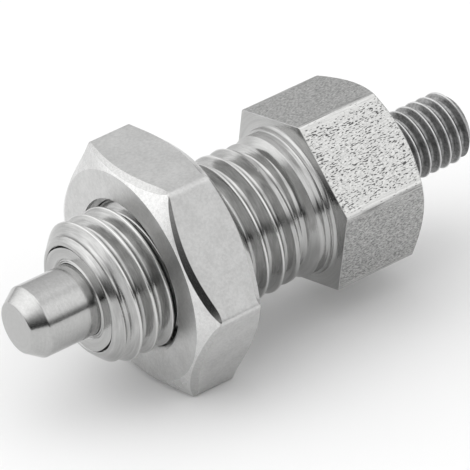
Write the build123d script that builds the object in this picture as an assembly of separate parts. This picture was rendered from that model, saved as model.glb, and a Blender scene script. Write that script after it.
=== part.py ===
from build123d import *

import os
from math import ceil, cos, radians, tan

# Index plunger, sizes in millimetres.
# X is the axis of the plunger: the locating pin points to -X and the pull stud to +X.
# The origin is on that axis, in the plane of the hexagon's front shoulder.
# Z is up, with a flat of the lock nut straight below the axis.

# Guide sleeve: the hexagon, the plain land and the M12 x 1.5 barrel are one turned piece
sleeve_reach = 20.2  # front shoulder to the barrel's front face
sleeve_thread_d = 11.94  # over the crests of the thread, and over the plain land
sleeve_rim = 0.3  # width of the flat ring left round the bush at the front
thread_chamfer_angle = 45
thread_stop = 2.55  # front shoulder to the end of the thread
last_turn_drop = 0.17  # radial, the thread's last turn is turned down a little
relief_floor_width = 0.47  # groove between the thread and the land
relief_wall_angle = 35
collar_height = 0.18  # low collar between the land and the shoulder, above the land
collar_width = 0.47
collar_foot_fillet = 0.15
collar_fillet = 0.3
head_across_flats = 14.0
head_length = 8.1
head_corner_radius = 0.3
head_rear_face_d = 13.3
head_chamfer_angle = 30
head_turn = -12.8  # degrees from the lock nut's corners, about X

# Both threads, right-hand. A crest place is where a crest crosses the +Y side
thread_flank_angle = 30
groove_overcut = 0.4  # of the crest's width, how far a cutting groove stands out of the metal
root_undercut = 0.03  # radial, what is turned below the root of a thread beside it
sleeve_pitch = 1.5
sleeve_thread_depth = 0.89
sleeve_crest_width = 0.16
sleeve_crest_place = -5.74
stud_pitch = 1.0
stud_thread_depth = 0.56
stud_crest_width = 0.1
stud_crest_place = 9.15

# Inside of the guide sleeve
spring_bore_d = 8.6
bush_seat_step = 0.15  # radial, the step in the bore that the bush is pressed against
rear_wall = 3.5  # metal between the spring and the hexagon's rear face
stud_hole_clearance = 0.1  # radial, so that the stud's thread passes when the piece is assembled
stud_hole_chamfer = 0.3

# Guide bush, pressed into the front of the sleeve
bush_length = 5.0
bush_bore_clearance = 0.04  # radial, on the locating pin
bush_countersink_width = 0.3
bush_countersink_depth = 0.22
bush_lead_chamfer = 0.3

# Plunger pin: locating pin, collar, rod and M6 stud are one turned piece
pin_d = 5.98
pin_protrusion = 5.8  # beyond the barrel's front face
nose_face_d = 4.2
nose_length = 1.3
nose_rounding = 0.25
piston_clearance = 0.1  # radial, in the spring bore
piston_length = 2.0
piston_chamfer = 0.2
rod_relief = 0.19  # radial, the rod below the crests of the stud's thread
rod_end_gap = 0.3  # rear face of the hexagon to the stud's thread
stud_thread_d = 5.88  # over the crests of the thread
stud_reach = 8.0  # rear face of the hexagon to the stud's end
stud_end_chamfer = 0.65
stud_run_out = 0.7  # along the stud, where the thread's groove rises to the rod

# Compression spring, with closed and ground ends
wire_d = 0.8
spring_clearance = 0.25  # radial, in the spring bore
active_turns = 6.5
closed_turns = 1.0  # at each end
closed_pitch_ratio = 1.06  # of the wire, so that the closed turns just clear each other

# Lock nut, M12 x 1.5
nut_across_flats = 18.7
nut_thickness = 5.9
nut_face_d = 17.7
nut_chamfer_angle = 30
nut_corner_radius = 0.5
nut_front = 15.35  # front shoulder to the nut's front face
nut_thread_clearance = 0.08  # radial, over the crests of the sleeve's thread
nut_countersink_width = 0.5
nut_countersink_depth = 0.3

# Radii and places that follow from the sizes above
sleeve_r = sleeve_thread_d / 2
sleeve_root_r = sleeve_r - sleeve_thread_depth
relief_r = sleeve_root_r - root_undercut
collar_r = sleeve_r + collar_height
spring_bore_r = spring_bore_d / 2
bush_r = spring_bore_r + bush_seat_step
rim_r = bush_r + sleeve_rim
pin_r = pin_d / 2
bush_bore_r = pin_r + bush_bore_clearance
piston_r = spring_bore_r - piston_clearance
stud_r = stud_thread_d / 2
stud_root_r = stud_r - stud_thread_depth
stud_hole_r = stud_r + stud_hole_clearance
rod_r = stud_r - rod_relief
wire_r = wire_d / 2
spring_mean_r = spring_bore_r - spring_clearance - wire_r
nut_bore_r = sleeve_r + nut_thread_clearance
nut_mouth_r = nut_bore_r + nut_countersink_width

front_x = -sleeve_reach
bush_rear_x = front_x + bush_length
piston_rear_x = bush_rear_x + piston_length
spring_seat_x = head_length - rear_wall
nut_front_x = -nut_front
nut_rear_x = nut_front_x + nut_thickness
nose_tip_x = front_x - pin_protrusion
stud_end_x = head_length + stud_reach

beyond = 2.0  # how far a cutting shape runs past the metal


def turned(*corners):
    """Turn an outline about X. A corner is (x, radius) or (x, radius, rounding)."""
    points = [corner[:2] for corner in corners]
    roundings = [corner[2] if len(corner) == 3 else 0 for corner in corners]
    outline = FilletPolyline(*points, radius=roundings, close=True)
    return revolve(make_face(outline), Axis.X)


def hexagon_bar(across_flats, corner_radius, turn, from_x, length):
    """Hexagonal bar along X with its corners rounded; turn 0 puts a corner on +Y."""
    section = RegularPolygon(across_flats / 2, 6, major_radius=False, rotation=turn)
    section = fillet(section.vertices(), corner_radius)
    return extrude(Plane.YZ.offset(from_x) * section, length)


def corner_radius_of(across_flats):
    """Distance from the axis to a sharp corner of a hexagon."""
    return across_flats / 2 / cos(radians(30))


def thread_groove(from_x, to_x, crest_r, pitch, depth, crest_width, crest_place):
    """Helical groove that leaves a right-hand thread; it runs past both ends."""
    flank = tan(radians(thread_flank_angle))
    overcut = groove_overcut * crest_width
    half_floor = (pitch - crest_width) / 2 - depth * flank
    half_mouth = (pitch - crest_width) / 2 + overcut * flank
    # A helix starts on the +Z side, a quarter of a pitch before its groove's next crest on the +Y side
    first_x = crest_place - pitch / 4 - ceil((crest_place - from_x) / pitch + 1) * pitch
    turns = ceil((to_x - first_x) / pitch + 1)
    # One helix for each turn, because faces that wind round several times don't cut cleanly
    path = Wire([
        Helix(pitch, pitch, crest_r, center=(first_x + turn * pitch, 0, 0), direction=(1, 0, 0)).edge()
        for turn in range(turns)
    ])
    floor_z = crest_r - depth
    mouth_z = crest_r + overcut
    corners = [
        (first_x - half_mouth, 0, mouth_z),
        (first_x - half_floor, 0, floor_z),
        (first_x + half_floor, 0, floor_z),
        (first_x + half_mouth, 0, mouth_z),
    ]
    return sweep(make_face(Polyline(*corners, close=True)), path=path, is_frenet=True)


def make_guide_sleeve():
    thread_chamfer = (sleeve_r - rim_r) / tan(radians(thread_chamfer_angle))
    thread_end_x = -thread_stop
    last_turn_r = sleeve_r - last_turn_drop
    thread = turned(
        (front_x, 0),
        (front_x, rim_r),
        (front_x + thread_chamfer, sleeve_r),
        (thread_end_x - sleeve_pitch, sleeve_r),
        (thread_end_x - sleeve_pitch + last_turn_drop, last_turn_r),
        (thread_end_x, last_turn_r),
        (thread_end_x, 0),
    )
    thread -= thread_groove(
        front_x,
        thread_end_x,
        sleeve_r,
        sleeve_pitch,
        sleeve_thread_depth,
        sleeve_crest_width,
        sleeve_crest_place,
    )

    relief_wall_x = thread_end_x + relief_floor_width
    land_x = relief_wall_x + (sleeve_r - relief_r) * tan(radians(relief_wall_angle))
    hub_r = collar_r + 1.5 * collar_fillet
    hub_depth = collar_width  # the land's outline ends this far inside the hexagon
    land = turned(
        (thread_end_x, 0),
        (thread_end_x, relief_r),
        (relief_wall_x, relief_r),
        (land_x, sleeve_r),
        (-collar_width, sleeve_r, collar_foot_fillet),
        (-collar_width, collar_r),
        (0, collar_r, collar_fillet),
        (0, hub_r),
        (hub_depth, hub_r),
        (hub_depth, 0),
    )

    corner_r = corner_radius_of(head_across_flats)
    rear_face_r = head_rear_face_d / 2
    rear_chamfer = (corner_r - rear_face_r) * tan(radians(head_chamfer_angle))
    head = hexagon_bar(head_across_flats, head_corner_radius, head_turn, 0, head_length)
    head &= turned(
        (0, 0),
        (0, corner_r),
        (head_length - rear_chamfer, corner_r),
        (head_length, rear_face_r),
        (head_length, 0),
    )

    bore = turned(
        (front_x - beyond, 0),
        (front_x - beyond, bush_r),
        (bush_rear_x, bush_r),
        (bush_rear_x, spring_bore_r),
        (spring_seat_x, spring_bore_r),
        (spring_seat_x, stud_hole_r),
        (head_length - stud_hole_chamfer, stud_hole_r),
        (head_length, stud_hole_r + stud_hole_chamfer),
        (head_length + beyond, stud_hole_r + stud_hole_chamfer),
        (head_length + beyond, 0),
    )
    return thread + land + head - bore


def make_guide_bush():
    return turned(
        (front_x, bush_bore_r + bush_countersink_width),
        (front_x, bush_r),
        (bush_rear_x - bush_lead_chamfer, bush_r),
        (bush_rear_x, bush_r - bush_lead_chamfer),
        (bush_rear_x, bush_bore_r),
        (front_x + bush_countersink_depth, bush_bore_r),
    )


def make_plunger_pin():
    thread_x = head_length + rod_end_gap
    thread = turned(
        (thread_x, 0),
        (thread_x, rod_r),
        (thread_x + stud_r - rod_r, stud_r),
        (stud_end_x - stud_end_chamfer, stud_r),
        (stud_end_x, stud_r - stud_end_chamfer),
        (stud_end_x, 0),
    )
    thread -= thread_groove(
        thread_x, stud_end_x, stud_r, stud_pitch, stud_thread_depth, stud_crest_width, stud_crest_place
    )
    core_r = stud_root_r - root_undercut
    return thread + turned(
        (nose_tip_x, 0),
        (nose_tip_x, nose_face_d / 2, nose_rounding),
        (nose_tip_x + nose_length, pin_r, nose_rounding),
        (bush_rear_x, pin_r),
        (bush_rear_x, piston_r - piston_chamfer),
        (bush_rear_x + piston_chamfer, piston_r),
        (piston_rear_x - piston_chamfer, piston_r),
        (piston_rear_x, piston_r - piston_chamfer),
        (piston_rear_x, rod_r),
        (thread_x, rod_r),
        (thread_x + stud_run_out, core_r),
        (thread_x + stud_run_out, 0),
    )


def make_compression_spring():
    closed_pitch = wire_d * closed_pitch_ratio
    closed_height = closed_pitch * closed_turns
    active_height = spring_seat_x - piston_rear_x - 2 * closed_height
    active_pitch = active_height / active_turns
    first_x = piston_rear_x + closed_height
    last_x = first_x + active_height

    stretches = [
        (piston_rear_x, closed_pitch, closed_height, 0),
        (first_x, active_pitch, active_height, closed_turns),
        (last_x, closed_pitch, closed_height, closed_turns + active_turns),
    ]
    turns = [
        Helix(pitch, height, spring_mean_r, center=(x, 0, 0), direction=(1, 0, 0)).rotate(Axis.X, 360 * start)
        for x, pitch, height, start in stretches
    ]
    path = Wire([stretch.edge() for stretch in turns])
    section = Plane(origin=path @ 0, z_dir=path % 0) * Circle(wire_r)
    coil = sweep(section, path=path, is_frenet=True)
    outside_r = spring_mean_r + wire_d
    ground = turned(
        (piston_rear_x, 0),
        (piston_rear_x, outside_r),
        (spring_seat_x, outside_r),
        (spring_seat_x, 0),
    )
    return coil & ground


def make_lock_nut():
    corner_r = corner_radius_of(nut_across_flats)
    face_r = nut_face_d / 2
    chamfer = (corner_r - face_r) * tan(radians(nut_chamfer_angle))
    nut = hexagon_bar(nut_across_flats, nut_corner_radius, 0, nut_front_x, nut_thickness)
    nut &= turned(
        (nut_front_x, 0),
        (nut_front_x, face_r),
        (nut_front_x + chamfer, corner_r),
        (nut_rear_x - chamfer, corner_r),
        (nut_rear_x, face_r),
        (nut_rear_x, 0),
    )
    return nut - turned(
        (nut_front_x - beyond, 0),
        (nut_front_x - beyond, nut_mouth_r),
        (nut_front_x, nut_mouth_r),
        (nut_front_x + nut_countersink_depth, nut_bore_r),
        (nut_rear_x - nut_countersink_depth, nut_bore_r),
        (nut_rear_x, nut_mouth_r),
        (nut_rear_x + beyond, nut_mouth_r),
        (nut_rear_x + beyond, 0),
    )


pieces = {
    "guide_sleeve": make_guide_sleeve(),
    "guide_bush": make_guide_bush(),
    "plunger_pin": make_plunger_pin(),
    "compression_spring": make_compression_spring(),
    "lock_nut": make_lock_nut(),
}

os.makedirs("parts", exist_ok=True)
for name, piece in pieces.items():
    export_step(piece, f"parts/{name}.step")
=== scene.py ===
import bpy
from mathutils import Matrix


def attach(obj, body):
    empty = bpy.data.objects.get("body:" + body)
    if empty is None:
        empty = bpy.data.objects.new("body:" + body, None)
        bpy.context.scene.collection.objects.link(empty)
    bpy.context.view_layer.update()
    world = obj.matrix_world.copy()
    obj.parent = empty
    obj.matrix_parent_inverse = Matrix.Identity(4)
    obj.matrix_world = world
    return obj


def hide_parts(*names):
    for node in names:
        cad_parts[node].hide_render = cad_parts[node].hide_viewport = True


bl_info = {
    "name": "Index plunger",
    "version": (1, 0, 0),
    "blender": (4, 5, 0),
    "location": "3D Viewport > Sidebar > Index plunger",
    "description": "Builds the pieces of an index plunger round its packed solids, with steel finishes",
    "category": "Object",
}

from math import atan2, ceil, cos, floor, pi, radians, sin, sqrt, tan, tau

import bmesh
import bpy
from bpy.props import FloatProperty, FloatVectorProperty, IntProperty, PointerProperty
from bpy.types import Operator, Panel, PropertyGroup
from mathutils import Matrix, Vector

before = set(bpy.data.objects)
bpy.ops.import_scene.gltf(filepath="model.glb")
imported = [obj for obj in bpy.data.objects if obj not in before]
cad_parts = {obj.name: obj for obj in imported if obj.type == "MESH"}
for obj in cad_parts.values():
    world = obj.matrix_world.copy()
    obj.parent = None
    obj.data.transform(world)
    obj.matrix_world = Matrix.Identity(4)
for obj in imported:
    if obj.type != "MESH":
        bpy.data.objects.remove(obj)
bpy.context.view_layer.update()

MM = 0.001
MERGE_DISTANCE = 0.5e-6  # in metres, points of a mesh that are closer become one
SHARP_ANGLE = radians(32)  # edges that bend more are shaded sharp
CROSSING_STEPS = 10  # halvings on the way to the point where two outlines cross

# Metric threads
FLANK_ANGLE = radians(30)  # from the plane across the axis
CREST_ROUNDING = 0.25  # of the crest's width
CREST_ARC_STEPS = 3
ROOT_ARC_STEPS = 4
FLANK_STATIONS = (0.25, 0.6)  # places on a flank, as shares of its length

# Long edges of a hexagon
CORNER_STATIONS = (-1, -0.67, -0.33, 0, 0.33, 0.67, 1)  # angles in a rounded corner, 1 at its ends
CORNER_CLEARANCE = 1.3  # other angles keep this far away, where the corner's end is 1

# Open stretches of the seam round the bush: their middle and half their width, as angles about X
OPEN_SEAMS = ((radians(62), radians(34)), (radians(226), radians(28)))

# Crescent facets on the lock nut
CRESCENT_LEAN = 0.35  # the share by which they are wider towards the second corner
CRESCENT_FULLNESS = 12  # the power that keeps them wide until close to the corners


# Sizes and colours


def length(name, description, millimetres):
    return FloatProperty(
        name=name, description=description, default=millimetres * MM, min=0, unit="LENGTH", precision=5
    )


def place(name, description, millimetres):
    return FloatProperty(
        name=name, description=description, default=millimetres * MM, unit="LENGTH", precision=5
    )


def angle(name, description, degrees):
    return FloatProperty(
        name=name, description=description, default=radians(degrees), subtype="ANGLE", unit="ROTATION"
    )


def share(name, description, default, top=1.0):
    return FloatProperty(
        name=name, description=description, default=default, min=0, max=top, subtype="FACTOR"
    )


def colour(name, description, *default):
    return FloatVectorProperty(
        name=name, description=description, default=default, min=0, max=1, subtype="COLOR"
    )


class BarrelSizes(PropertyGroup):
    """Guide sleeve: thread, relief groove, land, collar, hexagon and bores."""

    reach: length("Barrel reach", "Front shoulder to the barrel's front face", 20.2)
    crest_d: length("Thread diameter", "Over the crests of the barrel's thread", 11.94)
    pitch: length("Thread pitch", "Distance from crest to crest", 1.5)
    thread_depth: length("Thread depth", "From the crests down to the roots", 0.89)
    crest_width: length("Crest width", "Flat top of a thread", 0.16)
    crest_place: place("Crest place", "Where a crest crosses the axis plane on the +Y side", -5.74)
    thread_stop: length("Thread stop", "Front shoulder to the end of the thread", 2.55)
    last_turn_drop: length("Last turn drop", "Radial, of the thread's last crest", 0.17)
    rim: length("Rim", "Flat ring left round the bush at the front", 0.3)
    rim_rounding: length("Rim rounding", "Between that ring and the thread's chamfer", 0.5)
    root_undercut: length("Root undercut", "Relief groove below the roots of the thread", 0.03)
    relief_floor: length("Relief floor", "Width of the groove's floor behind the thread", 0.47)
    relief_wall: angle("Relief wall", "Slope of the groove's rear wall", 35)
    line_place: length("Tool line place", "Front shoulder to a faint line on the land", 0.85)
    line_width: length("Tool line width", "Of that line", 0.16)
    line_depth: length("Tool line depth", "Of that line", 0.02)
    collar_height: length("Collar height", "Collar above the land", 0.18)
    collar_width: length("Collar width", "Along the axis, in front of the shoulder", 0.47)
    collar_foot_fillet: length("Collar foot fillet", "Between the land and the collar", 0.15)
    collar_fillet: length("Collar fillet", "Between the collar and the shoulder", 0.3)
    across_flats: length("Across flats", "Of the hexagon", 14.0)
    head_length: length("Head length", "Of the hexagon", 8.1)
    corner_radius: length("Corner radius", "Of the hexagon's long edges", 0.3)
    rear_face_d: length("Rear face diameter", "Inside the hexagon's rear chamfer", 13.3)
    chamfer_angle: angle("Chamfer angle", "Of the hexagon's rear chamfer", 30)
    head_turn: angle("Head turn", "Of the hexagon's corners from the lock nut's, about X", -12.8)
    spring_bore_d: length("Spring bore", "Diameter", 8.6)
    bush_seat_step: length("Bush seat step", "Radial step that the bush is pressed against", 0.15)
    rear_wall: length("Rear wall", "Metal between the spring and the rear face", 3.5)
    stud_hole_d: length("Stud hole", "Diameter", 6.08)
    stud_hole_chamfer: length("Stud hole chamfer", "At the rear face", 0.3)


class BushSizes(PropertyGroup):
    """Guide bush in the front of the sleeve."""

    length: length("Bush length", "Along the axis", 5.0)
    bore_clearance: length("Bore clearance", "Radial, on the locating pin", 0.04)
    mouth_width: length("Mouth width", "Radial, of the ridged mouth at the front", 0.36)
    ring_count: IntProperty(name="Rings", description="Fine ridges in the mouth", default=2, min=1, max=8)
    ring_depth: length("Ring depth", "Of the grooves between those ridges", 0.08)
    lead_chamfer: length("Lead chamfer", "At the rear end", 0.3)
    seam_width: length("Seam width", "Radial, of the seam round the bush", 0.03)
    seam_opening: length("Seam opening", "How much wider the seam is in its two open stretches", 0.16)
    seam_depth: length("Seam depth", "Along the axis", 0.35)


class PinSizes(PropertyGroup):
    """Plunger pin: nose, collar, rod and threaded stud."""

    diameter: length("Pin diameter", "Of the locating end", 5.98)
    protrusion: length("Protrusion", "Beyond the barrel's front face", 5.8)
    nose_face_d: length("Nose face", "Diameter of the flat end", 4.2)
    nose_length: length("Nose length", "Of the conical chamfer", 1.3)
    nose_rounding: length("Nose rounding", "Of the two edges of the chamfer", 0.25)
    piston_clearance: length("Collar clearance", "Radial, in the spring bore", 0.1)
    piston_length: length("Collar length", "Of the collar that carries the spring", 2.0)
    piston_chamfer: length("Collar chamfer", "On both edges of that collar", 0.2)
    rod_relief: length("Rod relief", "Rod below the crests of the stud's thread", 0.19)
    rod_end_gap: length("Rod end gap", "Hexagon's rear face to the thread", 0.3)
    stud_d: length("Stud diameter", "Over the crests of its thread", 5.88)
    stud_reach: length("Stud reach", "Hexagon's rear face to the stud's end", 8.0)
    end_chamfer: length("End chamfer", "At the stud's end", 0.65)
    pitch: length("Thread pitch", "Distance from crest to crest", 1.0)
    thread_depth: length("Thread depth", "From the crests down to the roots", 0.56)
    crest_width: length("Crest width", "Flat top of a thread", 0.1)
    crest_place: place("Crest place", "Where a crest crosses the axis plane on the +Y side", 9.15)
    run_out: length("Run-out", "Along the stud, where the groove rises to the rod", 0.7)


class NutSizes(PropertyGroup):
    """Lock nut."""

    across_flats: length("Across flats", "Of the nut", 18.7)
    thickness: length("Thickness", "Along the axis", 5.9)
    front: length("Front place", "Front shoulder to the nut's front face", 15.35)
    face_d: length("Face diameter", "Inside the chamfers", 17.7)
    chamfer_angle: angle("Chamfer angle", "From the faces", 30)
    corner_radius: length("Corner radius", "Of the edges along the axis", 0.5)
    facet_width: length("Facet width", "Of the crescent between chamfer and flat, in its middle", 0.55)
    facet_least: length("Least facet width", "Of that crescent, at the hexagon's corners", 0.12)
    facet_angle: angle("Facet angle", "Of the crescent's slope from the axis, in its middle", 38)
    facet_twist: angle("Facet twist", "How much less that slope is at the crescent's wide end", 10)
    facet_rounding: length("Facet rounding", "Of the crescent's two edges", 0.06)
    thread_clearance: length("Thread clearance", "Radial, over the sleeve's crests", 0.08)
    thread_depth: length("Thread depth", "Of the grooves in the bore", 0.5)
    countersink_width: length("Countersink width", "Radial, at both faces", 0.38)
    countersink_depth: length("Countersink depth", "Along the axis", 0.3)


class EdgeSizes(PropertyGroup):
    """Small edge breaks and the fineness of the round shapes."""

    broken: length("Edge break", "Of turned edges", 0.06)
    step: IntProperty(name="Angle step", description="Degrees between two sections", default=2, min=1, max=10)
    arc_steps: IntProperty(
        name="Arc steps", description="Straight pieces in a rounded edge", default=5, min=2, max=16
    )


class Finishes(PropertyGroup):
    """Colours and gloss of the steel surfaces."""

    turned_colour: colour("Turned steel", "Threads, land and faces", 0.46, 0.46, 0.455)
    turned_roughness: share("Turned roughness", "Of threads, land and faces", 0.2)
    # The hexagon's flats are lit and shaded copies of one drawn steel: every second flat is painted lighter
    # and the others painted darker, along with their different pits and grain.
    lit_pitted_colour: colour("Drawn steel", "Pitted flats of the hexagon", 0.64, 0.64, 0.63)
    shaded_grained_colour: colour("Grained steel", "Every second flat of the hexagon", 0.42, 0.42, 0.415)
    drawn_roughness: share("Drawn roughness", "Of the hexagon's flats", 0.36)
    pit_colour: colour("Pits", "Bottom of the pits in the drawn flats", 0.13, 0.13, 0.13)
    drawn_contrast: share("Drawn contrast", "Lighter and darker spots between the pits", 0.13)
    grained_contrast: share("Grained contrast", "Lighter and darker spots of the grained flats", 0.44)
    pit_share: share("Pit share", "How much of the drawn flats is pitted", 0.235)
    ground_colour: colour("Ground steel", "Locating pin", 0.47, 0.47, 0.465)
    ground_roughness: share("Ground roughness", "Of the locating pin", 0.17)
    rolled_colour: colour("Rolled steel", "Thread of the stud", 0.3, 0.3, 0.3)
    rolled_roughness: share("Rolled roughness", "Of the stud's thread", 0.3)
    satin_colour: colour("Satin steel", "Lock nut", 0.6, 0.6, 0.595)
    satin_roughness: share("Satin roughness", "Of the lock nut", 0.36)
    chamfer_colour: colour("Chamfer steel", "Chamfers of the lock nut", 0.66, 0.66, 0.655)
    chamfer_roughness: share("Chamfer roughness", "Of those chamfers", 0.25)
    cut_colour: colour("Cut steel", "Crescents on the lock nut", 0.48, 0.48, 0.475)
    cut_roughness: share("Cut roughness", "Of those crescents", 0.14)
    wire_colour: colour("Spring wire", "Compression spring", 0.5, 0.5, 0.5)
    wire_roughness: share("Wire roughness", "Of the compression spring", 0.22)


class StageSettings(PropertyGroup):
    """Floor, light and camera."""

    floor_width: length("Floor width", "Side of the square floor", 6000)
    floor_colour: colour("Floor colour", "Pale matt floor", 0.88, 0.88, 0.88)
    top_light: share("Light from above", "Strength of the surround, rising to the top", 1.05, 4)
    side_light: share("Light from the sides", "Strength of the surround at the horizon", 0.6, 4)
    left_light: share("Left soft box", "Added on the far left side", 0.85, 4)
    right_light: share("Right soft box", "Added on the near right side", 0.42, 4)
    zenith_light: share("Top soft box", "Added straight above, for soft shadows", 0.6, 4)
    gap_light: share("Dark gap", "Strength left in the dark gap of the surround", 0.02)
    azimuth: angle("Camera azimuth", "Turn of the camera about Z, from the -Y side", -31.9)
    elevation: angle("Camera elevation", "Of the camera above the floor", 32.3)
    roll: angle("Camera roll", "Turn of the picture", 6.85)
    distance: length("Camera distance", "From the point that the camera looks at", 501.6)
    aim: FloatVectorProperty(
        name="Camera aim",
        description="Point in the middle of the picture",
        default=(-4.53 * MM, 1.42 * MM, -1.88 * MM),
        subtype="TRANSLATION",
        unit="LENGTH",
    )
    lens: FloatProperty(name="Lens", description="Focal length", default=490, min=1, unit="CAMERA")


GROUPS = {
    "barrel": BarrelSizes,
    "bush": BushSizes,
    "pin": PinSizes,
    "nut": NutSizes,
    "edges": EdgeSizes,
    "finishes": Finishes,
    "stage": StageSettings,
}


def settings(name):
    return getattr(bpy.context.scene, "plunger_" + name)


# Shapes turned about X


class Thread:
    """A right-hand thread about X: crests stand at crest_place plus whole pitches at angle 0."""

    def __init__(self, pitch, crest_r, depth, crest_width, crest_place, inside=False):
        self.pitch = pitch
        self.crest_r = crest_r
        self.depth = depth
        self.crest_width = crest_width
        self.crest_place = crest_place
        self.outward = 1 if inside else -1  # the side of the crests that the grooves are on
        self.bend = pi / 2 - FLANK_ANGLE  # from the crest's flat top into a flank
        self.corner_r = CREST_ROUNDING * crest_width
        self.corner_start = crest_width / 2 - self.corner_r * tan(self.bend / 2)
        self.root_rounding = (pitch - crest_width) / 2 / tan(FLANK_ANGLE) - depth

    def drop(self, from_crest):
        """How far the surface lies below the crests, at this distance from a crest's middle."""
        on_corner = from_crest - self.corner_start
        from_root = self.pitch / 2 - from_crest
        if on_corner <= 0:
            return 0
        if on_corner < self.corner_r * sin(self.bend):
            return self.corner_r - sqrt(self.corner_r**2 - on_corner**2)
        if from_root < self.root_rounding * sin(self.bend):
            return self.depth - self.root_rounding + sqrt(self.root_rounding**2 - from_root**2)
        return (from_crest - self.crest_width / 2) / tan(FLANK_ANGLE)

    def radius(self, x, turn):
        """Radius of the surface at x, on the ray at this angle."""
        turns = (x - self.crest_place) / self.pitch - turn / tau
        from_crest = abs(turns - round(turns)) * self.pitch
        return self.crest_r + self.outward * self.drop(from_crest)

    def stations(self, start, end, turn):
        """Places along X in this section. Their number is the same in every section."""
        half = self.pitch / 2
        offsets = [0, self.corner_start]
        offsets += [
            self.corner_start + self.corner_r * sin(self.bend * part / CREST_ARC_STEPS)
            for part in range(1, CREST_ARC_STEPS + 1)
        ]
        flank_start = offsets[-1]
        flank_end = half - self.root_rounding * sin(self.bend)
        offsets += [flank_start + (flank_end - flank_start) * station for station in FLANK_STATIONS]
        offsets += [
            half - self.root_rounding * sin(self.bend * part / ROOT_ARC_STEPS)
            for part in range(ROOT_ARC_STEPS, 0, -1)
        ]
        pattern = [-offset for offset in offsets[:0:-1]] + offsets + [half]
        first = floor((start - self.crest_place) / self.pitch) - 1
        last = ceil((end - self.crest_place) / self.pitch) + 1
        places = []
        for number in range(first, last + 1):
            centre = self.crest_place + self.pitch * (number + turn / tau)
            places += [min(max(centre + offset, start), end) for offset in pattern]
        return places


def lower_of(places, surface, limit):
    """Points (x, r) on the lower of two outlines, with a place moved to wherever they cross."""
    places = list(places)
    for index in range(1, len(places) - 2):
        low, high = places[index], places[index + 1]
        below = surface(low) < limit(low)
        if (surface(high) < limit(high)) == below:
            continue
        for _ in range(CROSSING_STEPS):
            middle = (low + high) / 2
            if (surface(middle) < limit(middle)) == below:
                low = middle
            else:
                high = middle
        nearer = index if low - places[index] < places[index + 1] - low else index + 1
        places[nearer] = low
    return [(x, min(surface(x), limit(x))) for x in places]


def angle_between(first, second):
    """Angle between two rays, whichever way round is shorter."""
    return abs((first - second + pi) % tau - pi)


def stretch(turn, middle, half_width):
    """1 in the middle of a stretch of angles, smoothly 0 at its ends."""
    off_middle = angle_between(turn, middle) / half_width
    return max(1 - off_middle * off_middle, 0) ** 2


def rounded_corner(across_flats, corner_radius):
    """Distance from the axis to the centre of a hexagon's corner, and half the corner's angle."""
    centre = (across_flats / 2 - corner_radius) / cos(pi / 6)
    return centre, atan2(corner_radius / 2, centre + corner_radius * cos(pi / 6))


def hexagon_radius(turn, across_flats, corner_radius, head_turn):
    """Distance from the axis to a hexagon with rounded corners, on the ray at this angle."""
    off_corner = (turn - head_turn) % (pi / 3)
    off_corner = min(off_corner, pi / 3 - off_corner)
    centre, half_corner = rounded_corner(across_flats, corner_radius)
    if off_corner >= half_corner:
        return across_flats / 2 / cos(pi / 6 - off_corner)
    return centre * cos(off_corner) + sqrt(corner_radius**2 - (centre * sin(off_corner)) ** 2)


def section_angles(corner_radius=0, across_flats=1, head_turn=0):
    """Angles of the sections, from 0 to a full turn, with extra ones in a hexagon's corners."""
    step = settings("edges").step
    angles = {radians(degrees) for degrees in range(0, 360 + step, step)}
    if corner_radius:
        _, half_corner = rounded_corner(across_flats, corner_radius)
        for corner in range(6):
            middle = (head_turn + corner * pi / 3) % tau
            angles = {
                turn
                for turn in angles
                if angle_between(turn, middle) > CORNER_CLEARANCE * half_corner or turn in (0, tau)
            }
            angles |= {middle + half_corner * station for station in CORNER_STATIONS}
    return sorted(turn for turn in angles if 0 <= turn <= tau)


def rounded(*corners, before=None):
    """Outline through corners (x, r) or (x, r, rounding), with an arc in each rounded corner.

    The outline closes on itself, or follows on the point before where that is given.
    """
    steps = settings("edges").arc_steps
    last = before or corners[-1]
    points = []
    for index, corner in enumerate(corners):
        here = Vector(corner[:2])
        if len(corner) == 2:
            points.append(here)
            continue
        previous = corners[index - 1] if index else last
        following = corners[(index + 1) % len(corners)]
        back = (Vector(previous[:2]) - here).normalized()
        ahead = (Vector(following[:2]) - here).normalized()
        half_bend = back.angle(ahead) / 2
        centre = here + (back + ahead).normalized() * corner[2] / sin(half_bend)
        start = here + back * corner[2] / tan(half_bend) - centre
        bend = start.angle_signed(here + ahead * corner[2] / tan(half_bend) - centre)
        for step in range(steps + 1):
            points.append(centre + Matrix.Rotation(-bend * step / steps, 2) @ start)
    return [tuple(point) for point in points]


def skin(name, section_at, angles, closed=True):
    """Mesh object through the sections: section_at(angle) gives a list of (x, r), closed or not."""
    mesh = bpy.data.meshes.new(name)
    shape = bmesh.new()
    rings = []
    for turn in angles:
        across, up = cos(turn), sin(turn)
        rings.append([shape.verts.new((x, r * across, r * up)) for x, r in section_at(turn)])
    count = len(rings[0])
    for ring, following in zip(rings, rings[1:]):
        for here in range(count if closed else count - 1):
            there = (here + 1) % count
            shape.faces.new((ring[here], ring[there], following[there], following[here]))
    bmesh.ops.remove_doubles(shape, verts=shape.verts, dist=MERGE_DISTANCE)
    bmesh.ops.dissolve_degenerate(shape, edges=shape.edges, dist=MERGE_DISTANCE)
    bmesh.ops.recalc_face_normals(shape, faces=shape.faces)
    shape.to_mesh(mesh)
    shape.free()
    piece = bpy.data.objects.new(name, mesh)
    bpy.context.scene.collection.objects.link(piece)
    return piece


def dress(piece, body, node, finishes, finish_of=None):
    """Shade a piece, give its faces their finishes and put it on its body in place of its node."""
    mesh = piece.data
    for finish in finishes:
        mesh.materials.append(finish)
    if finish_of:
        for face in mesh.polygons:
            face.material_index = finish_of(face.center, face.normal)
    mesh.shade_smooth()
    mesh.set_sharp_from_angle(angle=SHARP_ANGLE)
    weighted = piece.modifiers.new("Flat faces stay flat", "WEIGHTED_NORMAL")
    weighted.keep_sharp = True
    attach(piece, body)
    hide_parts(node)


# Shader maths


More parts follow.
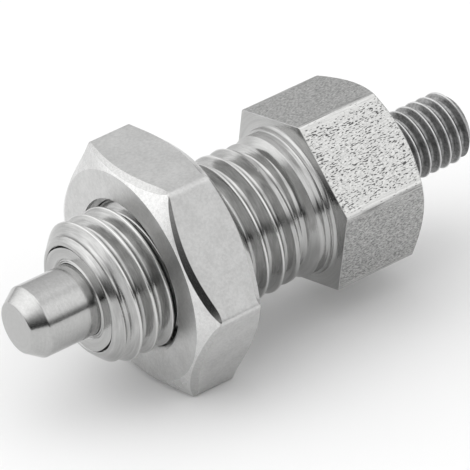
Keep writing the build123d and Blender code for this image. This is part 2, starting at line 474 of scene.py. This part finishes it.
class Value:
    """A socket of a shader. Arithmetic on it adds Math nodes."""

    def __init__(self, graph, socket):
        self.graph = graph
        self.socket = socket

    def maths(self, operation, *terms, clamp=False):
        return self.graph.node("ShaderNodeMath", {"operation": operation, "use_clamp": clamp}, *terms)

    def __add__(self, other):
        return self.maths("ADD", self, other)

    def __radd__(self, other):
        return self.maths("ADD", other, self)

    def __sub__(self, other):
        return self.maths("SUBTRACT", self, other)

    def __rsub__(self, other):
        return self.maths("SUBTRACT", other, self)

    def __mul__(self, other):
        return self.maths("MULTIPLY", self, other)

    def __rmul__(self, other):
        return self.maths("MULTIPLY", other, self)

    def __pow__(self, other):
        return self.maths("POWER", self, other)

    def __rpow__(self, other):
        return self.maths("POWER", other, self)

    def clamped(self):
        return self.maths("ADD", self, 0, clamp=True)

    def ramp(self, start, end):
        """0 below start, 1 above end, smooth between."""
        return self.graph.node(
            "ShaderNodeMapRange", {"interpolation_type": "SMOOTHSTEP"}, self, start, end, 0, 1
        )


class Graph:
    """The node tree of a material or of the world."""

    def __init__(self, tree):
        self.tree = tree
        tree.nodes.clear()

    def node(self, kind, options, *inputs, output=0, **named):
        """Add a node: its options first, then its sockets by order or by name."""
        node = self.tree.nodes.new(kind)
        for key, option in options.items():
            setattr(node, key, option)
        for key, entry in [*enumerate(inputs), *named.items()]:
            socket = node.inputs[key.replace("_", " ") if isinstance(key, str) else key]
            if isinstance(entry, Value):
                self.tree.links.new(entry.socket, socket)
            else:
                socket.default_value = entry
        return Value(self, node.outputs[output]) if node.outputs else node

    def noise(self, vector, scale, detail=2.0, roughness=0.5):
        return self.node(
            "ShaderNodeTexNoise",
            {"noise_dimensions": "3D"},
            Vector=vector,
            Scale=scale,
            Detail=detail,
            Roughness=roughness,
        )

    def mix(self, share, first, second):
        """Colour between two colours."""
        return self.node(
            "ShaderNodeMix", {"data_type": "RGBA"}, output="Result", Factor=share, A=first, B=second
        )

    def tones(self, share, colour, dark, light):
        """Colour between two shades of one colour."""
        return self.mix(share, shade(colour, dark), shade(colour, light))

    def parts_of(self, vector):
        """Its x, y and z as single values."""
        return [self.node("ShaderNodeSeparateXYZ", {}, vector, output=axis) for axis in "XYZ"]

    def surface(self, **entries):
        """Let the material show a principled shader with these entries."""
        shader = self.node("ShaderNodeBsdfPrincipled", {}, **entries)
        self.node("ShaderNodeOutputMaterial", {}, Surface=shader)


class SteelGraph(Graph):
    """Shader of one steel finish. Its coordinates are the part's own, in millimetres."""

    def __init__(self, name):
        self.material = new_material(name)
        super().__init__(self.material.node_tree)
        in_metres = self.node("ShaderNodeTexCoord", {}, output="Object")
        self.position = self.node("ShaderNodeVectorMath", {"operation": "SCALE"}, in_metres, Scale=1 / MM)
        self.x, self.y, self.z = self.parts_of(self.position)
        self.radius = (self.y**2 + self.z**2) ** 0.5

    def vector(self, x, y, z):
        return self.node("ShaderNodeCombineXYZ", {}, x, y, z)

    def turning_marks(self, per_millimetre):
        """Fine lines round the axis, as a cutting tool leaves them."""
        around = (self.y + self.z) * 0.6
        return self.noise(self.vector(self.x * per_millimetre, self.radius * per_millimetre, around), 1.0)

    def drawn_marks(self, along, across, detail=2.0, roughness=0.5):
        """Noise for drawn bar, with this many marks to a millimetre along the axis and across it."""
        stretched = self.vector(self.x * along, self.y * across, self.z * across)
        return self.noise(stretched, 1.0, detail, roughness)

    def crests(self, crest_r):
        """1 on the crests of a thread, 0 from 0.1 mm below them: where the crests get a painted highlight."""
        return self.radius.ramp(crest_r / MM - 0.1, crest_r / MM - 0.02)

    def finish(self, colour, roughness, height, bump, bump_depth):
        """The finished material. The bump's depth is in millimetres."""
        normal = self.node("ShaderNodeBump", {}, Strength=bump, Distance=bump_depth * MM, Height=height)
        self.surface(Base_Color=colour, Metallic=1.0, Roughness=roughness, Normal=normal)
        return self.material


def new_material(name):
    material = bpy.data.materials.new(name)
    material.use_nodes = True
    return material


def shade(colour, factor):
    """The same colour, lighter or darker, with its alpha."""
    return tuple(min(channel * factor, 1) for channel in colour) + (1,)


# Steel finishes


def turned_steel(name="turned_steel", crest_r=None):
    """Land, shoulder and end faces: fine rings from the tool. A thread has painted shade below crest_r and a
    painted highlight on its crests.
    """
    look = settings("finishes")
    graph = SteelGraph(name)
    fine = graph.turning_marks(9)
    broad = graph.turning_marks(2.2)
    tone = (fine * 0.5 + broad * 0.5).ramp(0.3, 0.7)
    steel = graph.tones(tone, look.turned_colour, 0.86, 1.1)
    if crest_r:
        # Painted shade: the grooves darker. Painted highlight: the crests much lighter.
        groove = graph.tones(tone, look.turned_colour, 0.78, 1.14)
        steel = graph.mix(graph.crests(crest_r), groove, shade(look.turned_colour, 1.4))
    return graph.finish(
        steel,
        look.turned_roughness - 0.05 + tone * 0.1,
        height=fine * 0.6 + broad * 0.4,
        bump=0.35,
        bump_depth=0.012,
    )


def drawn_steel(name, tint, contrast, pit_share):
    """Flats of the hexagon: drawn bar with an even grain and small pits stretched along the axis. The tint is
    painted lighter or darker by flat.
    """
    look = settings("finishes")
    graph = SteelGraph(name)
    across_flats = settings("barrel").across_flats / MM
    near_edge = graph.radius.ramp(across_flats * 0.55, across_flats * 0.568)  # a corner is at 0.577
    dashes = graph.drawn_marks(3.8, 12, detail=0.5)
    rows = graph.drawn_marks(0.4, 2.6)
    threshold = 0.72 - 0.6 * pit_share - (rows - 0.5) * 0.12 + near_edge * 0.12
    pits = (dashes - threshold).ramp(0.0, 0.08)
    grain = graph.drawn_marks(4.5, 10, detail=3.0, roughness=0.6)
    streaks = graph.drawn_marks(0.3, 9)
    tone = (grain * (1 - near_edge * 0.7) + streaks * near_edge * 0.7).ramp(0.34, 0.66)
    steel = graph.tones(tone, tint, 1 - contrast, 1 + contrast)
    return graph.finish(
        graph.mix(pits, steel, shade(look.pit_colour, 1)),
        look.drawn_roughness + pits * 0.2,
        height=tone * 0.6 - pits * 0.8,
        bump=0.7,
        bump_depth=0.02,
    )


def ground_steel():
    """Locating pin: ground and polished, with faint rings."""
    look = settings("finishes")
    graph = SteelGraph("ground_steel")
    rings = graph.turning_marks(7)
    mottle = graph.noise(graph.position, 4.5, detail=3.0, roughness=0.6)
    tone = (rings * 0.4 + mottle * 0.6).ramp(0.3, 0.7)
    return graph.finish(
        graph.tones(tone, look.ground_colour, 0.93, 1.06),
        look.ground_roughness - 0.04 + mottle * 0.08,
        height=rings * 0.6 + mottle * 0.4,
        bump=0.25,
        bump_depth=0.01,
    )


def rolled_steel():
    """Stud: rolled thread, greyer and patchy, with a painted highlight on its crests and painted shade in its
    grooves.
    """
    look = settings("finishes")
    graph = SteelGraph("rolled_steel")
    rings = graph.turning_marks(8)
    patches = graph.noise(graph.position, 3.5, detail=4.0, roughness=0.65)
    tone = (rings * 0.35 + patches * 0.65).ramp(0.36, 0.64)
    # The grooves darker as painted shade, the crests lighter as a painted highlight.
    crest = graph.crests(settings("pin").stud_d / 2)
    groove = graph.tones(tone, look.rolled_colour, 0.6, 1.15)
    return graph.finish(
        graph.mix(crest, groove, shade(look.rolled_colour, 2.2)),
        look.rolled_roughness - 0.05 + patches * 0.15,
        height=rings * 0.4 + patches * 0.6,
        bump=0.4,
        bump_depth=0.02,
    )


def satin_steel(name, tint, roughness):
    """Lock nut: even satin from tumbling, brighter on the chamfers."""
    graph = SteelGraph(name)
    grain = graph.noise(graph.position, 4.2, detail=4.0, roughness=0.7)
    clouds = graph.noise(graph.position, 0.7)
    tone = (grain * 0.65 + clouds * 0.35).ramp(0.32, 0.68)
    return graph.finish(
        graph.tones(tone, tint, 0.89, 1.1),
        roughness - 0.05 + clouds * 0.12,
        height=grain * 0.7 + clouds * 0.3,
        bump=0.35,
        bump_depth=0.02,
    )


def cut_steel():
    """Crescents on the lock nut: darker and smoother than the rest of the nut."""
    look = settings("finishes")
    graph = SteelGraph("cut_steel")
    grain = graph.noise(graph.position, 6.0, detail=3.0, roughness=0.6)
    return graph.finish(
        graph.tones(grain.ramp(0.35, 0.65), look.cut_colour, 0.93, 1.07),
        look.cut_roughness,
        height=grain,
        bump=0.08,
        bump_depth=0.005,
    )


def spring_wire():
    """Compression spring: bright drawn wire."""
    look = settings("finishes")
    graph = SteelGraph("spring_wire")
    grain = graph.noise(graph.position, 12.0)
    return graph.finish(
        graph.tones(grain, look.wire_colour, 0.85, 1.1),
        look.wire_roughness + grain * 0.08,
        height=grain,
        bump=0.15,
        bump_depth=0.008,
    )


# Pieces


class AddGuideSleeve(Operator):
    """Add the guide sleeve: threaded barrel, land, collar and hexagon, bored through"""

    bl_idname = "plunger.add_guide_sleeve"
    bl_label = "Guide sleeve"

    def execute(self, context):
        sizes = settings("barrel")
        broken = settings("edges").broken
        front = -sizes.reach
        crest_r = sizes.crest_d / 2
        relief_r = crest_r - sizes.thread_depth - sizes.root_undercut
        collar_r = crest_r + sizes.collar_height
        collar_edge = sizes.collar_height * 0.1
        bore_r = sizes.spring_bore_d / 2
        seat_r = bore_r + sizes.bush_seat_step
        rim_r = seat_r + sizes.rim
        hole_r = sizes.stud_hole_d / 2
        seat_end = front + settings("bush").length
        spring_seat = sizes.head_length - sizes.rear_wall
        thread_end = -sizes.thread_stop
        last_turn = thread_end - sizes.pitch
        relief_end = thread_end + sizes.relief_floor
        land_start = relief_end + (crest_r - relief_r) * tan(sizes.relief_wall)
        line_x = -sizes.line_place
        thread = Thread(sizes.pitch, crest_r, sizes.thread_depth, sizes.crest_width, sizes.crest_place)
        rim_tangent = sizes.rim_rounding * tan(pi / 8)  # the chamfer behind the rim is at 45 degrees
        rim_arc = rim_tangent * cos(pi / 4)  # its length along the axis
        flat_slope, face_slope = 0.2, 0.95  # how far a face's normal leans to X

        def blank_radius(x):
            """The turned blank before its thread: rounded rim, chamfer, crests and lower last turn."""
            if x < front + rim_arc:
                off_centre = front + sizes.rim_rounding - x
                return rim_r - rim_tangent + sqrt(max(sizes.rim_rounding**2 - off_centre**2, 0))
            last_turn_r = crest_r - min(max(x - last_turn, 0), sizes.last_turn_drop)
            return min(rim_r + x - front, last_turn_r)

        rim_stations = (0.02, 0.08, 0.2, 0.4, 0.65, 1)  # shares of that length, close where it is steep
        rim_places = [front + rim_arc * station for station in rim_stations]
        last_turn_places = [last_turn, last_turn + sizes.last_turn_drop]

        def section(turn):
            flat_r = hexagon_radius(turn, sizes.across_flats, sizes.corner_radius, sizes.head_turn)
            chamfer = (flat_r - sizes.rear_face_d / 2) * tan(sizes.chamfer_angle)
            places = sorted(thread.stations(front, thread_end, turn) + rim_places + last_turn_places)
            barrel = lower_of(places, lambda x: thread.radius(x, turn), blank_radius)
            rest = rounded(
                (thread_end, relief_r, broken),
                (relief_end, relief_r, 2 * broken),
                (land_start, crest_r, broken),
                (line_x - sizes.line_width / 2, crest_r),
                (line_x, crest_r - sizes.line_depth),
                (line_x + sizes.line_width / 2, crest_r),
                (-sizes.collar_width, crest_r, sizes.collar_foot_fillet),
                (-sizes.collar_width, collar_r, collar_edge),
                (0, collar_r, sizes.collar_fillet),
                (0, flat_r, broken),
                (sizes.head_length - chamfer, flat_r, 2 * broken),
                (sizes.head_length, sizes.rear_face_d / 2, broken),
                (sizes.head_length, hole_r + sizes.stud_hole_chamfer),
                (sizes.head_length - sizes.stud_hole_chamfer, hole_r),
                (spring_seat, hole_r),
                (spring_seat, bore_r),
                (seat_end, bore_r),
                (seat_end, seat_r),
                (front + broken / 2, seat_r),
                (front, seat_r + broken / 2),
                before=barrel[-1],
            )
            return barrel + rest

        def finish_of(centre, normal):
            """2 on the thread, 1 and 3 by turns on the hexagon's flats (painted lighter and painted darker),
            and 0 elsewhere.
            """
            slope, height = abs(normal.x), centre.yz.length
            if centre.x < thread_end and height > seat_r + broken and slope < face_slope:
                return 2
            on_head = broken < centre.x < sizes.head_length
            if not on_head or slope > flat_slope or height < collar_r:
                return 0
            from_corner = atan2(centre.z, centre.y) - sizes.head_turn
            return 1 if floor(from_corner / (pi / 3)) % 2 == 0 else 3

        angles = section_angles(sizes.corner_radius, sizes.across_flats, sizes.head_turn)
        piece = skin("threaded_guide_sleeve", section, angles)
        look = settings("finishes")
        finishes = [
            turned_steel(),
            # Lit and shaded copies of the drawn steel, painted lighter and darker by turns on the flats.
            drawn_steel("lit_pitted_drawn_steel", look.lit_pitted_colour, look.drawn_contrast, look.pit_share),
            turned_steel("threaded_steel", crest_r),
            drawn_steel("shaded_grained_drawn_steel", look.shaded_grained_colour, look.grained_contrast, 0),
        ]
        dress(piece, "guide", "guide_sleeve", finishes, finish_of)
        return {"FINISHED"}


class AddGuideBush(Operator):
    """Add the guide bush, with fine ridges in its mouth and a seam round it"""

    bl_idname = "plunger.add_guide_bush"
    bl_label = "Guide bush"

    def execute(self, context):
        sizes = settings("bush")
        barrel = settings("barrel")
        front = -barrel.reach
        rear = front + sizes.length
        outside_r = barrel.spring_bore_d / 2 + barrel.bush_seat_step
        bore_r = settings("pin").diameter / 2 + sizes.bore_clearance
        mouth_r = bore_r + sizes.mouth_width
        half_ring = sizes.mouth_width / sizes.ring_count / 2
        ridge_x = front + sizes.ring_depth * 0.2  # a little below the front face
        ridges_and_grooves = []
        for number in range(sizes.ring_count):
            ridge_r = bore_r + half_ring * 2 * number
            ridges_and_grooves.append((ridge_x, ridge_r))
            ridges_and_grooves.append((front + sizes.ring_depth, ridge_r + half_ring))

        def section(turn):
            openness = sum(stretch(turn, middle, half_width) for middle, half_width in OPEN_SEAMS)
            seam = sizes.seam_width + sizes.seam_opening * openness
            return rounded(
                (front, mouth_r),
                (front, outside_r - seam, seam / 3),
                (front + sizes.seam_depth, outside_r - seam / 4),
                (front + sizes.seam_depth, outside_r),
                (rear - sizes.lead_chamfer, outside_r),
                (rear, outside_r - sizes.lead_chamfer),
                (rear, bore_r),
                *ridges_and_grooves,
            )

        piece = skin("edged_guide_bush", section, section_angles())
        dress(piece, "guide", "guide_bush", [turned_steel("turned_bush_steel")])
        return {"FINISHED"}


class AddPlungerPin(Operator):
    """Add the plunger pin: locating end, collar, rod and threaded stud"""

    bl_idname = "plunger.add_plunger_pin"
    bl_label = "Plunger pin"

    def execute(self, context):
        sizes = settings("pin")
        barrel = settings("barrel")
        tip = -barrel.reach - sizes.protrusion
        piston_front = -barrel.reach + settings("bush").length
        piston_rear = piston_front + sizes.piston_length
        piston_r = barrel.spring_bore_d / 2 - sizes.piston_clearance
        crest_r = sizes.stud_d / 2
        root_r = crest_r - sizes.thread_depth
        rod_r = crest_r - sizes.rod_relief
        thread_start = barrel.head_length + sizes.rod_end_gap
        stud_end = barrel.head_length + sizes.stud_reach
        thread = Thread(sizes.pitch, crest_r, sizes.thread_depth, sizes.crest_width, sizes.crest_place)

        plain = rounded(
            (tip, 0),
            (tip, sizes.nose_face_d / 2, sizes.nose_rounding),
            (tip + sizes.nose_length, sizes.diameter / 2, sizes.nose_rounding),
            (piston_front, sizes.diameter / 2),
            (piston_front, piston_r - sizes.piston_chamfer),
            (piston_front + sizes.piston_chamfer, piston_r),
            (piston_rear - sizes.piston_chamfer, piston_r),
            (piston_rear, piston_r - sizes.piston_chamfer),
            (piston_rear, rod_r),
        )

        def blank_radius(x):
            return min(rod_r + x - thread_start, crest_r - sizes.end_chamfer + stud_end - x, crest_r)

        def groove_radius(x, turn):
            """The thread, with its groove rising to the rod at the start."""
            run_out = rod_r + (root_r - rod_r) * (x - thread_start) / sizes.run_out
            return max(run_out, thread.radius(x, turn))

        def section(turn):
            places = thread.stations(thread_start, stud_end, turn)
            stud = lower_of(places, lambda x: groove_radius(x, turn), blank_radius)
            return plain + stud + [(stud_end, 0)]

        def finish_of(centre, normal):
            return 1 if centre.x > piston_front else 0

        piece = skin("pin_with_threaded_stud", section, section_angles(), closed=False)
        dress(piece, "plunger", "plunger_pin", [ground_steel(), rolled_steel()], finish_of)
        return {"FINISHED"}


class AddLockNut(Operator):
    """Add the lock nut, with chamfered faces, crescent facets and a threaded bore"""

    bl_idname = "plunger.add_lock_nut"
    bl_label = "Lock nut"

    def execute(self, context):
        sizes = settings("nut")
        barrel = settings("barrel")
        broken = settings("edges").broken
        front = -sizes.front
        rear = front + sizes.thickness
        face_r = sizes.face_d / 2
        bore_r = barrel.crest_d / 2 + sizes.thread_clearance
        mouth_r = bore_r + sizes.countersink_width
        flat_slope, chamfer_slope, face_slope = 0.3, 0.83, 0.95  # how far a face's normal leans to X
        thread = Thread(
            barrel.pitch, bore_r, sizes.thread_depth, barrel.crest_width * 2, barrel.crest_place, inside=True
        )

        def bore_radius(x, turn):
            from_face = min(x - front, rear - x)
            countersink = mouth_r - from_face * sizes.countersink_width / sizes.countersink_depth
            return max(countersink, min(thread.radius(x, turn), mouth_r))

        def facet(turn):
            """Width and slope of the crescent facet: pointed at the corners, wider towards the second."""
            off_middle = turn / (pi / 6) % 2 - 1
            fullness = 1 - off_middle**CRESCENT_FULLNESS
            width = sizes.facet_width * (1 + CRESCENT_LEAN * off_middle) * fullness
            return max(width, sizes.facet_least), sizes.facet_angle - sizes.facet_twist * off_middle

        def section(turn):
            flat_r = hexagon_radius(turn, sizes.across_flats, sizes.corner_radius, 0)
            chamfer = (flat_r - face_r) * tan(sizes.chamfer_angle)
            width, slope = facet(turn)
            on_chamfer = width * sin(slope) / cos(sizes.chamfer_angle)
            on_flat = width * cos(slope + sizes.chamfer_angle) / cos(sizes.chamfer_angle)
            facet_x = chamfer - on_chamfer * sin(sizes.chamfer_angle)
            facet_r = flat_r - on_chamfer * cos(sizes.chamfer_angle)
            outside = rounded(
                (front, face_r, broken),
                (front + facet_x, facet_r, sizes.facet_rounding),
                (front + chamfer + on_flat, flat_r, sizes.facet_rounding),
                (rear - chamfer - on_flat, flat_r, sizes.facet_rounding),
                (rear - facet_x, facet_r, sizes.facet_rounding),
                (rear, face_r, broken),
                (rear, mouth_r),
                (front, mouth_r),
            )
            bore = [(x, bore_radius(x, turn)) for x in reversed(thread.stations(front, rear, turn))]
            return outside[:-2] + bore  # the bore has its own points at both mouths

        def finish_of(centre, normal):
            """1 on the crescent facets, 2 on the brighter chamfers, and 0 on flats and faces."""
            slope = abs(normal.x)
            if centre.yz.length < face_r or slope < flat_slope or slope > face_slope:
                return 0
            return 1 if slope < chamfer_slope else 2

        angles = section_angles(sizes.corner_radius, sizes.across_flats, 0)
        piece = skin("chamfered_lock_nut", section, angles)
        look = settings("finishes")
        finishes = [
            satin_steel("satin_steel", look.satin_colour, look.satin_roughness),
            cut_steel(),
            satin_steel("bright_satin_steel", look.chamfer_colour, look.chamfer_roughness),
        ]
        dress(piece, "nut", "lock_nut", finishes, finish_of)
        return {"FINISHED"}


class DressSpring(Operator):
    """Give the compression spring its wire finish; its solid is shown as it is"""

    bl_idname = "plunger.dress_spring"
    bl_label = "Compression spring"

    def execute(self, context):
        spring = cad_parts["compression_spring"]
        wire = spring_wire()
        for slot in spring.material_slots:
            slot.material = wire
        return {"FINISHED"}


# Stage


class AddStage(Operator):
    """Add the pale floor, the soft studio surround and the camera"""

    bl_idname = "plunger.add_stage"
    bl_label = "Floor, light and camera"

    def execute(self, context):
        stage = settings("stage")
        self.add_floor(stage)
        self.add_surround(stage)
        self.add_camera(stage)
        context.scene.view_settings.view_transform = "Standard"
        return {"FINISHED"}

    def add_floor(self, stage):
        half = stage.floor_width / 2
        height = -settings("nut").across_flats / 2
        mesh = bpy.data.meshes.new("floor")
        corners = [(-half, -half, height), (half, -half, height), (half, half, height), (-half, half, height)]
        mesh.from_pydata(corners, [], [(0, 1, 2, 3)])
        floor_piece = bpy.data.objects.new("floor", mesh)
        bpy.context.scene.collection.objects.link(floor_piece)
        material = new_material("pale_floor")
        floor_graph = Graph(material.node_tree)
        floor_graph.surface(Base_Color=shade(stage.floor_colour, 1), Roughness=0.9, Specular_IOR_Level=0.1)
        mesh.materials.append(material)

    def add_surround(self, stage):
        """A light tent with three soft boxes, and a dark gap low down on the camera's side.

        The strength is 1 where a white surface would look white.
        """
        world = bpy.data.worlds.new("soft_surround")
        world.use_nodes = True
        bpy.context.scene.world = world
        graph = Graph(world.node_tree)
        x, y, z = graph.parts_of(graph.node("ShaderNodeTexCoord", {}, output="Generated"))

        def towards(azimuth, elevation, outer, inner):
            """1 within one angle of a direction, 0 outside the other, all in degrees."""
            turn, rise = radians(azimuth), radians(elevation)
            centre = (cos(turn) * cos(rise), sin(turn) * cos(rise), sin(rise))
            nearness = x * centre[0] + y * centre[1] + z * centre[2]
            return nearness.ramp(cos(radians(outer)), cos(radians(inner)))

        dome = stage.side_light + (stage.top_light - stage.side_light) * z.clamped()
        dome = dome + towards(azimuth=150, elevation=25, outer=65, inner=20) * stage.left_light
        dome = dome + towards(azimuth=305, elevation=30, outer=38, inner=8) * stage.right_light
        dome = dome + towards(azimuth=0, elevation=90, outer=28, inner=12) * stage.zenith_light
        gap_foot = 0.08  # heights in the surround are sines of the elevation
        gap_top = 0.45 + 0.4 * towards(azimuth=215, elevation=0, outer=62, inner=25)
        gap = towards(azimuth=240, elevation=0, outer=82, inner=44) * (1 - z.ramp(gap_foot, gap_top))
        strength = dome * (1 - gap) + stage.gap_light * gap
        background = graph.node("ShaderNodeBackground", {}, Color=(1, 1, 1, 1), Strength=strength)
        graph.node("ShaderNodeOutputWorld", {}, Surface=background)

    def add_camera(self, stage):
        data = bpy.data.cameras.new("camera")
        data.sensor_width = 36
        data.lens = stage.lens
        data.clip_start = 0.01
        data.clip_end = 20
        camera = bpy.data.objects.new("camera", data)
        bpy.context.scene.collection.objects.link(camera)
        turn, rise = stage.azimuth, stage.elevation
        back = Vector((sin(turn) * cos(rise), -cos(turn) * cos(rise), sin(rise)))
        aimed = back.to_track_quat("Z", "Y").to_matrix().to_4x4()
        place = Matrix.Translation(Vector(stage.aim) + back * stage.distance)
        camera.matrix_world = place @ aimed @ Matrix.Rotation(-stage.roll, 4, "Z")
        bpy.context.scene.camera = camera


class PlungerPanel(Panel):
    """Lists the pieces of the index plunger"""

    bl_idname = "VIEW3D_PT_index_plunger"
    bl_label = "Index plunger"
    bl_space_type = "VIEW_3D"
    bl_region_type = "UI"
    bl_category = "Index plunger"

    def draw(self, context):
        for operator in OPERATORS:
            self.layout.operator(operator.bl_idname)
        for name, group in GROUPS.items():
            box = self.layout.box()
            box.label(text=group.__doc__)
            for key in group.__annotations__:
                box.prop(settings(name), key)


OPERATORS = (AddGuideSleeve, AddGuideBush, AddPlungerPin, AddLockNut, DressSpring, AddStage)


def register():
    for kind in (*GROUPS.values(), *OPERATORS, PlungerPanel):
        bpy.utils.register_class(kind)
    for name, group in GROUPS.items():
        setattr(bpy.types.Scene, "plunger_" + name, PointerProperty(type=group))


def unregister():
    for name in GROUPS:
        delattr(bpy.types.Scene, "plunger_" + name)
    for kind in (PlungerPanel, *reversed(OPERATORS), *GROUPS.values()):
        bpy.utils.unregister_class(kind)


def main():
    register()
    bpy.ops.plunger.add_guide_sleeve()
    bpy.ops.plunger.add_guide_bush()
    bpy.ops.plunger.add_plunger_pin()
    bpy.ops.plunger.add_lock_nut()
    bpy.ops.plunger.dress_spring()
    bpy.ops.plunger.add_stage()


if __name__ == "__main__":
    main()
